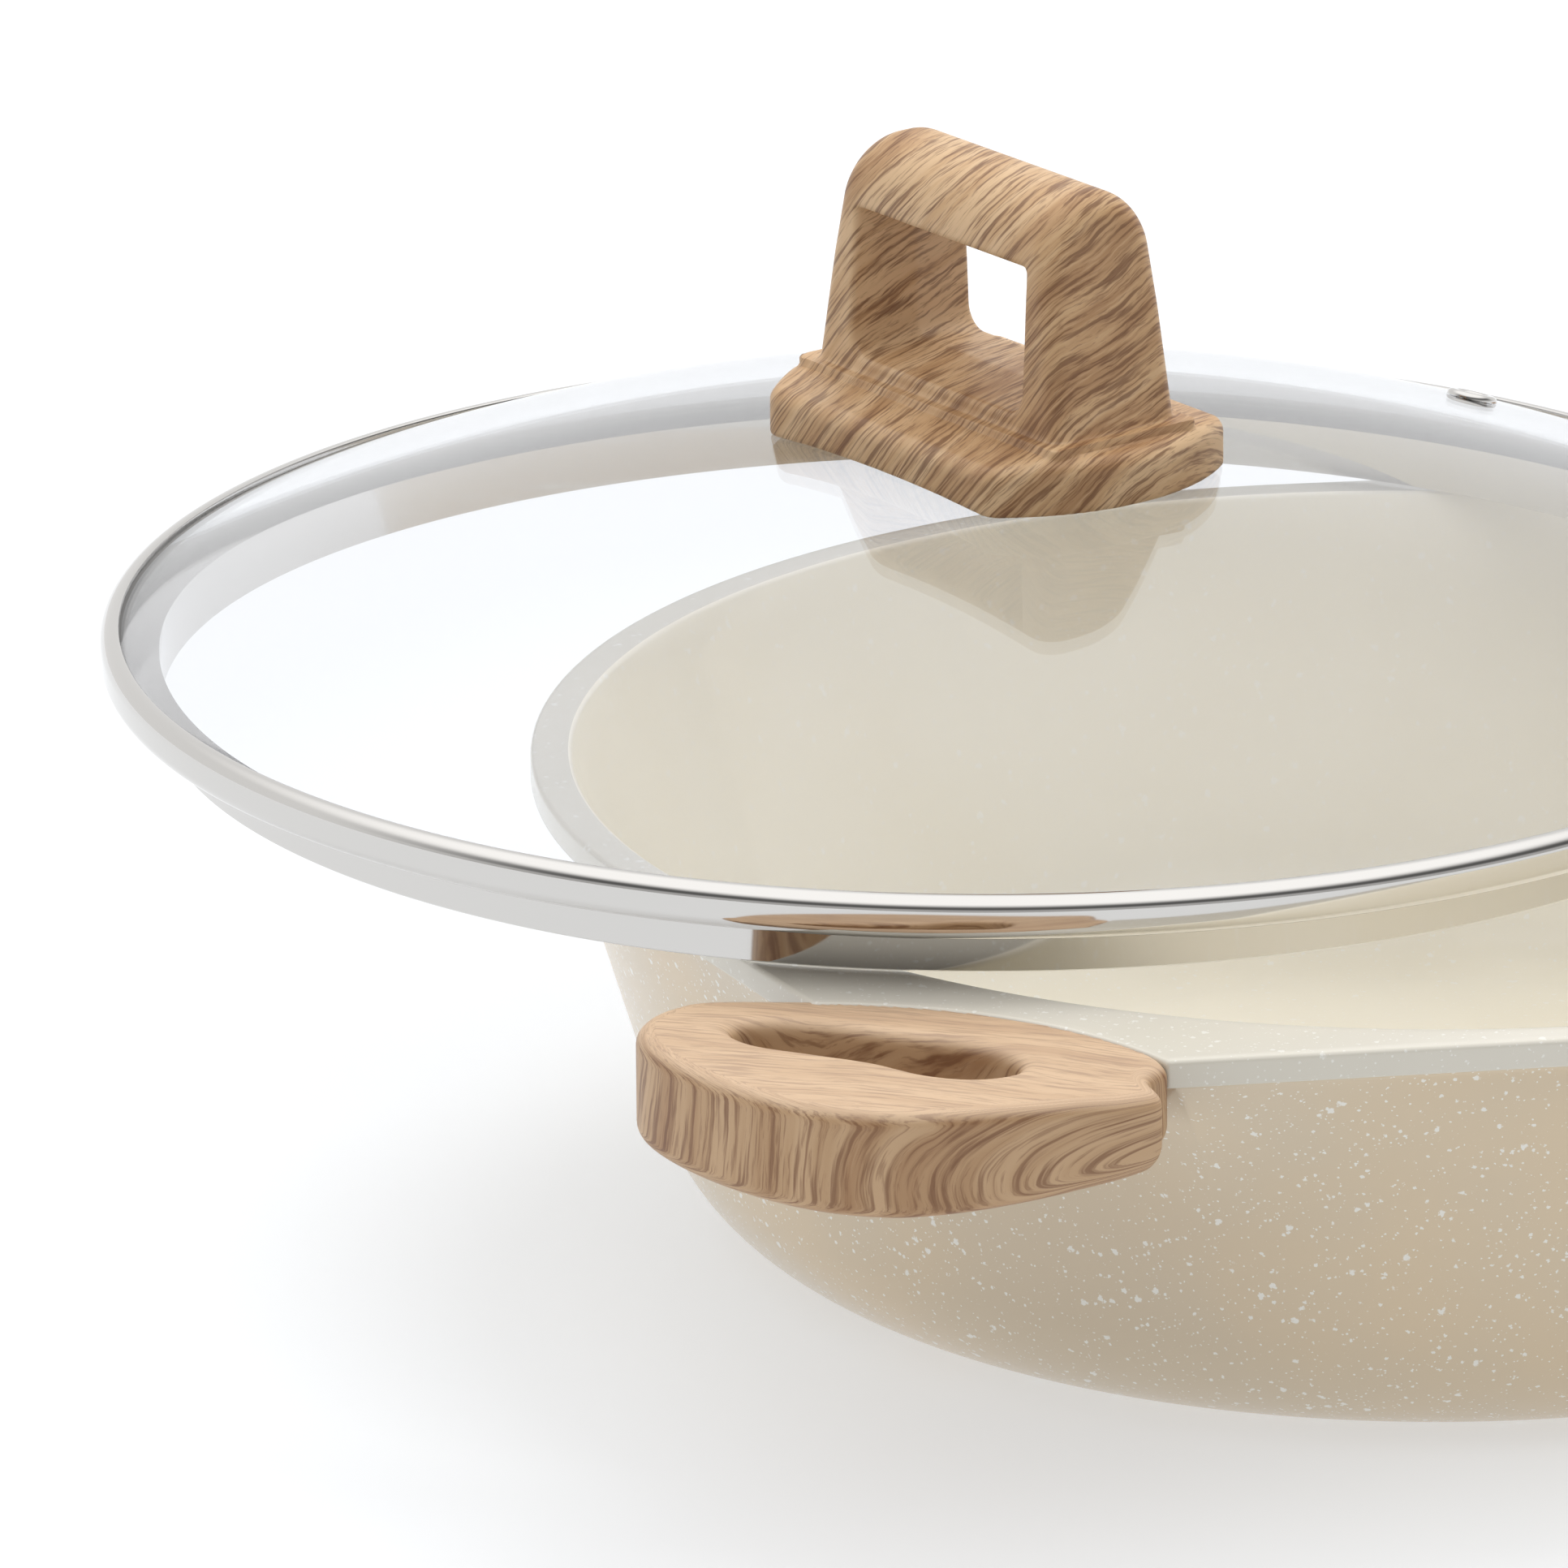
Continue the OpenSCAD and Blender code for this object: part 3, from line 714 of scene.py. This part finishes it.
def knob_field(x, y, z):
    """The lid's knob: a leaning loop on a foot, with a low plinth between them."""
    plan = meet(np.hypot(x, y) - FOOT_R, np.abs(y) - FOOT_HALF_W, 2.0)
    away = np.hypot(np.maximum(np.abs(x) - 32, 0), np.maximum(np.abs(y) - 14, 0))
    foot = meet(plan, z - (FOOT_H - 0.16 * away), 2.4)
    lean = math.atan2(LOOP_HALF_L_LOW - LOOP_HALF_L_HIGH, KNOB_H - FOOT_H)
    ends = (np.abs(x) - LOOP_HALF_L_LOW) * math.cos(lean) + (z - FOOT_H) * math.sin(lean)
    half_w = LOOP_HALF_W - 0.05 * (z - FOOT_H)
    section = meet(np.abs(y) - half_w, z - KNOB_H, LOOP_ROUND)
    loop = meet(ends, section, 3.2 + 1.0 * np.clip((z - 28) / 14, 0, 1))
    plinth = meet(np.abs(x) - PLINTH_HALF_L, np.abs(y) - PLINTH_HALF_W, 2.0)
    plinth = meet(plinth, z - FOOT_H - PLINTH_H, 0.4)
    solid = blend(np.minimum(foot, plinth), loop, 0.6)
    knob = meet(solid, -window_field(x, y, z), 0.9)
    return meet(knob, DOME_R + 0.2 - np.sqrt(x * x + y * y + (z + DOME_R)**2), 0.6)


def window_field(x, y, z):
    """The finger hole through the knob, narrowest at its middle."""
    draft = 0.12 * np.abs(y)
    sides = np.abs(x) - WINDOW_HALF_L - draft
    floor = WINDOW_LOW - z - 0.7 * draft
    ceiling = z - WINDOW_HIGH - 0.5 * draft
    return meet(meet(sides, floor, 4.0), ceiling, 1.0)


def build_knob():
    """The knob on top of the glass, with its printed film slanting across it."""
    points, faces = surface_net(knob_field, (-42, -28, -4), (42, 28, 49), GRID_STEP)
    x, y, z = points.T
    grain = np.stack([x + 0.4 * y - 0.85 * z, y + 0.5 * z, 0.6 * z], -1)
    place = Matrix.Translation((LID_X, LID_Y, LID_Z + APEX_Z)) @ Matrix.Rotation(KNOB_DIR, 4, "Z")
    piece = add_object("knob", moved(points, place), faces, "lid", [KNOB_WOOD],
                       replaces=["lid_knob"], smooth_angle=50)
    set_vector_attribute(piece, "grain", grain + [300, 120, 60])


# ---------------------------------------------------------------- studio

# Brightness of the studio's walls and ceiling.
NEAR_LOW = 0.58
NEAR_DARK = 0.15
FAR_WALL = 1.0
ZENITH = 1.55

FLOOR_SIZE = 60
FLOOR_DROP = 0.0002


def add_floor():
    """The floor, a hair below the base so that the two faces don't share a plane."""
    bpy.ops.mesh.primitive_plane_add(size=FLOOR_SIZE, location=(0, 0, -FLOOR_DROP))
    floor = bpy.context.object
    floor.name = "floor"
    floor.data.materials.append(FLOOR)


def add_sun(name, towards, strength, width):
    """Broad soft light from one direction; width is its angular size in degrees."""
    data = bpy.data.lights.new(name, "SUN")
    data.energy = strength
    data.angle = math.radians(width)
    light = bpy.data.objects.new(name, data)
    bpy.context.scene.collection.objects.link(light)
    light.location = towards
    light.visible_glossy = False
    light.visible_transmission = False
    light.rotation_euler = (-Vector(towards)).to_track_quat("-Z", "Y").to_euler()


def add_world():
    """A white studio: brightest overhead, white on the far side, and greyer on the near side."""
    world = bpy.data.worlds.new("studio")
    bpy.context.scene.world = world
    world.use_nodes = True
    tree = world.node_tree
    background = tree.nodes["Background"]
    background.inputs["Color"].default_value = (1, 1, 1, 1)
    direction = tree.nodes.new("ShaderNodeTexCoord").outputs["Generated"]

    def share(axis, low, high):
        """0 where the direction leans to one side along axis, 1 where it leans to the other."""
        dot = tree.nodes.new("ShaderNodeVectorMath")
        dot.operation = "DOT_PRODUCT"
        tree.links.new(direction, dot.inputs[0])
        dot.inputs[1].default_value = axis
        levels = tree.nodes.new("ShaderNodeMapRange")
        levels.interpolation_type = "SMOOTHSTEP"
        tree.links.new(dot.outputs["Value"], levels.inputs["Value"])
        levels.inputs["From Min"].default_value = low
        levels.inputs["From Max"].default_value = high
        return levels.outputs[0]

    def blended(factor, a, b):
        """a where the factor is 0, b where it is 1."""
        mix = tree.nodes.new("ShaderNodeMix")
        tree.links.new(factor, mix.inputs[0])
        for socket, value in ((mix.inputs[2], a), (mix.inputs[3], b)):
            if isinstance(value, float):
                socket.default_value = value
            else:
                tree.links.new(value, socket)
        return mix.outputs[0]

    up = (0, 0, 1)
    away = (0.72, 0.69, 0)
    near_side = blended(share(up, 0.16, 0.34), NEAR_LOW, NEAR_DARK)
    walls = blended(share(away, -0.35, 0.45), near_side, FAR_WALL)
    studio = blended(share(up, 0.45, 0.85), walls, ZENITH)
    tree.links.new(studio, background.inputs["Strength"])


def add_camera():
    """Long lens, looking down a little across the near handle."""
    data = bpy.data.cameras.new("camera")
    data.sensor_width = 36
    data.lens = 411.35
    data.clip_end = 100
    camera = bpy.data.objects.new("camera", data)
    bpy.context.scene.collection.objects.link(camera)
    camera.location = (-2.56844, -1.22902, 1.02580)
    aim = Vector((-0.04660, 0.09738, 0.07377)) - camera.location
    roll = Quaternion((0, 0, 1), math.radians(-0.44))
    camera.rotation_mode = "QUATERNION"
    camera.rotation_quaternion = aim.to_track_quat("-Z", "Y") @ roll
    bpy.context.scene.camera = camera


# ---------------------------------------------------------------- assembly

add_camera()
add_floor()
add_world()
add_sun("key", (0.58, -0.08, 0.80), 1.1, 34)

build_pan()
build_studs()
build_handle("handle_near", "pan", "near_handle", 1)
build_handle("handle_far", "pan", "far_handle", 0)
build_glass()
build_band()
build_vent()
build_knob()

CAD_FINISH = {
    "induction_disc": BRUSHED,
    "near_handle_screws": BRUSHED, "near_handle_washers": BRUSHED,
    "far_handle_screws": BRUSHED, "far_handle_washers": BRUSHED,
    "vent_washer": BRUSHED, "knob_washer": BRUSHED, "knob_screw": BRUSHED,
    "knob_insert": BRASS, "knob_gasket": RUBBER, "knob_seal": RUBBER,
}
for node, material in CAD_FINISH.items():
    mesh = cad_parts[node].data
    mesh.materials.clear()
    mesh.materials.append(material)

bpy.context.scene.view_settings.view_transform = "Standard"
